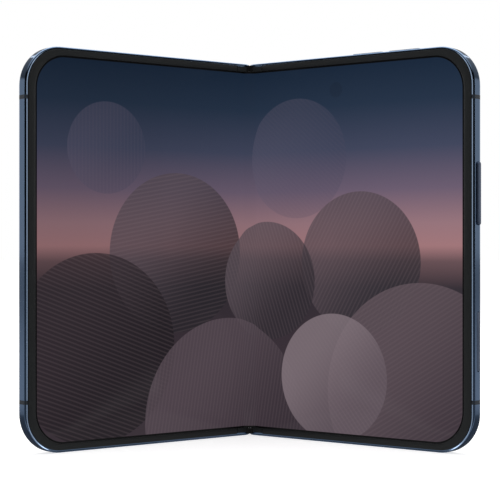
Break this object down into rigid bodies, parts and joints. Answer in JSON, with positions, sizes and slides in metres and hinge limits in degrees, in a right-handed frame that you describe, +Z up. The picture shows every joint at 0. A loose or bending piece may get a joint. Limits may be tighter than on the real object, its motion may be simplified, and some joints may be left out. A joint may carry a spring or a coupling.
{
  "type": "foldable smartphone",
  "caption": "Book-style folding phone, standing part open on its bottom edges, with geared twin hinge, wide inner display, side and top keys.",
  "frame": {"origin": "on the surface that the phone stands on, at the middle of the part-open phone's footprint", "axes": "+Z up along the fold, +X towards the half with the keys, -Y the side that the inner display faces"},
  "size_m": [0.1357, 0.0556, 0.1209],
  "materials": {
    "frame": "polished, anodised slate blue",
    "antenna_plastic": "satin, flush with the metal",
    "bezel": "fine matt black",
    "screen": "glossy folding display with an abstract picture",
    "plate": "plain sheet",
    "fold_sheet": "thin spring sheet",
    "seal": "black, flexible",
    "flex": "polyimide film with copper",
    "back_glass": "satin slate glass",
    "cover_glass": "glossy black glass",
    "cover_panel": "display panel",
    "steel": "machined steel",
    "clip": "spring bronze",
    "lens_glass": "dark coated glass",
    "camera_module": "black lens barrel",
    "flash": "milky lens",
    "board": "circuit board",
    "battery": "foil pouch",
    "speaker": "moulded plastic",
    "key": "satin dark slate"
  },
  "bodies": {
    "spine": {"spine_cover": "frame", "spine_end_plugs": "speaker", "spine_screws": "steel", "hinge_bracket_upper": "steel", "hinge_bracket_lower": "steel", "friction_clips": "clip", "display_fold": "screen", "display_fold_backing": "fold_sheet", "fold_seals": "seal", "hinge_flex": "flex"},
    "right_half": {"frame_right": "frame", "antenna_bands_right": "antenna_plastic", "bezel_right": "bezel", "hinge_caps_right": "bezel", "display_right": "screen", "display_plate_right": "plate", "back_glass": "back_glass", "hinge_shafts_right": "steel", "hinge_wing_upper_right": "steel", "hinge_wing_lower_right": "steel", "wing_screws_right": "steel", "camera_island": "frame", "rear_camera_windows": "lens_glass", "rear_cameras": "camera_module", "flash": "flash", "front_camera": "camera_module", "main_board": "board", "board_shields": "steel", "board_screws": "steel", "battery_right": "battery", "usb_socket": "steel", "loudspeaker": "speaker", "haptic_motor": "steel", "key_switches": "clip"},
    "left_half": {"frame_left": "frame", "antenna_bands_left": "antenna_plastic", "bezel_left": "bezel", "hinge_caps_left": "bezel", "display_left": "screen", "display_plate_left": "plate", "cover_glass": "cover_glass", "cover_display": "cover_panel", "cover_camera": "camera_module", "hinge_shafts_left": "steel", "hinge_wing_upper_left": "steel", "hinge_wing_lower_left": "steel", "wing_screws_left": "steel", "battery_left": "battery", "earpiece": "speaker", "left_board": "board"},
    "timing_pair_right": {"timing_gears_right": "steel"},
    "timing_pair_left": {"timing_gears_left": "steel"},
    "power_key": {"power_key": "key"},
    "camera_key": {"camera_key": "key"},
    "volume_up_key": {"volume_up_key": "key"},
    "volume_down_key": {"volume_down_key": "key"}
  },
  "joints": [
    {"name": "fold_right", "type": "hinge", "parent": "spine", "child": "right_half", "pos_m": [0.00243, 0.02453, 0.0603], "axis": [0, 0, 1], "range_deg": [-52, 38], "deforming": ["display_fold", "display_fold_backing", "fold_seals", "hinge_flex"]},
    {"name": "fold_left", "type": "hinge", "parent": "spine", "child": "left_half", "pos_m": [-0.00243, 0.02453, 0.0603], "axis": [0, 0, 1], "range_deg": [-38, 52]},
    {"name": "timing_gear_right_turn", "type": "hinge", "parent": "spine", "child": "timing_pair_right", "pos_m": [0.00081, 0.02453, 0.0603], "axis": [0, 0, 1], "range_deg": [-38, 52]},
    {"name": "timing_gear_left_turn", "type": "hinge", "parent": "spine", "child": "timing_pair_left", "pos_m": [-0.00081, 0.02453, 0.0603], "axis": [0, 0, 1], "range_deg": [-52, 38]},
    {"name": "power_key_press", "type": "slide", "parent": "right_half", "child": "power_key", "axis": [-0.788, 0.6157, 0], "range_m": [0, 0.0003], "stiffness_N_per_m": 1500},
    {"name": "camera_key_press", "type": "slide", "parent": "right_half", "child": "camera_key", "axis": [-0.788, 0.6157, 0], "range_m": [0, 0.0002], "stiffness_N_per_m": 1500},
    {"name": "volume_up_press", "type": "slide", "parent": "right_half", "child": "volume_up_key", "axis": [0, 0, -1], "range_m": [0, 0.0003], "stiffness_N_per_m": 1500},
    {"name": "volume_down_press", "type": "slide", "parent": "right_half", "child": "volume_down_key", "axis": [0, 0, -1], "range_m": [0, 0.0003], "stiffness_N_per_m": 1500}
  ],
  "couplings": [
    {"joint": "fold_left", "follows": "fold_right", "ratio": -1},
    {"joint": "timing_gear_right_turn", "follows": "fold_right", "ratio": -1},
    {"joint": "timing_gear_left_turn", "follows": "fold_right", "ratio": 1}
  ]
}
